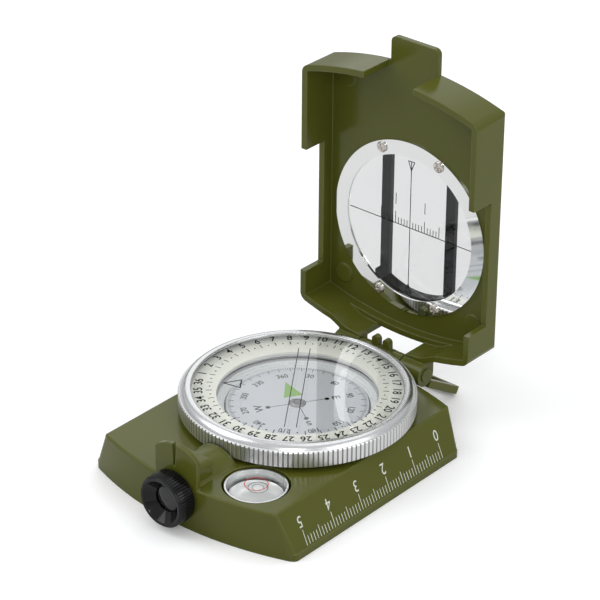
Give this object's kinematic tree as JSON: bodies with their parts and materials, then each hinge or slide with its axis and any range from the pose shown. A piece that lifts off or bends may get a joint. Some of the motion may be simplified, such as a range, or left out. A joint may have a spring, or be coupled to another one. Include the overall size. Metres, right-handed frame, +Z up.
{
  "type": "sighting compass",
  "caption": "Folding sighting compass with hinged windowed lid, turning bezel, liquid-damped card, focusing eyepiece, bubble level, thumb loop and tripod socket.",
  "frame": {"origin": "mouth of the tripod socket on the dial axis, on the plane the base rests on", "axes": "+Z up through the dial, -Y towards the eyepiece, +Y towards the lid hinge, +X towards the ruled edge"},
  "size_m": [0.0628, 0.0957, 0.0934],
  "materials": {
    "olive_paint": "olive enamel on die-cast zinc alloy, semi-gloss",
    "bare_aluminium": "turned and polished, clear lacquer",
    "bright_metal": "bright nickel-chrome plate",
    "black_plastic": "glossy black moulding",
    "clear_glass": "polished clear",
    "clear_plastic": "clear acrylic",
    "luminous_plastic": "pale luminous disc with printed numbers",
    "card_face": "satin silver-grey printed card",
    "rubber": "black seal rubber",
    "pale_seal": "pale silicone seal",
    "steel": "zinc-plated steel",
    "magnet_steel": "sintered magnet steel",
    "brass": "turned brass",
    "jewel": "polished synthetic ruby"
  },
  "bodies": {
    "base": {"base_housing": "olive_paint", "bottom_plate": "olive_paint", "bottom_screws": "steel", "tripod_bush": "brass", "capsule_cup": "clear_plastic", "pivot_post": "steel", "capsule_seal": "rubber", "capsule_cover": "clear_plastic", "capsule_ring": "bare_aluminium", "bezel_spring": "steel", "level_cup": "bright_metal", "level_vial": "clear_plastic", "reading_window": "clear_plastic", "hinge_pin": "olive_paint", "hinge_washers": "black_plastic"},
    "card": {"compass_card": "card_face", "card_magnets": "magnet_steel", "jewel_cap": "bright_metal", "pivot_jewel": "jewel"},
    "bezel": {"bezel_ring": "bare_aluminium", "dial_ring": "luminous_plastic", "bezel_gasket": "pale_seal", "bezel_glass": "clear_glass", "glass_ring": "bright_metal"},
    "lens_tube": {"lens_cell": "black_plastic", "eyepiece_lens": "clear_glass", "lens_retainer": "black_plastic"},
    "focus": {"focus_ring": "black_plastic"},
    "lid": {"lid_shell": "olive_paint", "window_ring": "bright_metal", "window_glass": "clear_glass", "window_gasket": "rubber", "window_frame": "black_plastic", "window_screws": "steel"},
    "loop": {"thumb_loop": "olive_paint"}
  },
  "joints": [
    {"name": "card_swing", "type": "hinge", "parent": "base", "child": "card", "pos_m": [0, 0, 0.0131], "axis": [0, 0, 1], "continuous": true},
    {"name": "bezel_turn", "type": "hinge", "parent": "base", "child": "bezel", "pos_m": [0, 0, 0.015], "axis": [0, 0, 1], "continuous": true},
    {"name": "lens_slide", "type": "slide", "parent": "base", "child": "lens_tube", "axis": [0, -1, 0], "range_m": [0, 0.002]},
    {"name": "focus_turn", "type": "hinge", "parent": "lens_tube", "child": "focus", "pos_m": [0, -0.046, 0.0082], "axis": [0, -1, 0], "range_deg": [0, 360]},
    {"name": "lid_hinge", "type": "hinge", "parent": "base", "child": "lid", "pos_m": [0, 0.0322, 0.01195], "axis": [1, 0, 0], "range_deg": [-40, 90]},
    {"name": "loop_swing", "type": "hinge", "parent": "base", "child": "loop", "pos_m": [0, 0.0322, 0.01195], "axis": [1, 0, 0], "range_deg": [-50, 35]}
  ],
  "couplings": [
    {"joint": "focus_turn", "follows": "lens_slide", "rad_per_m": 3141.6}
  ]
}
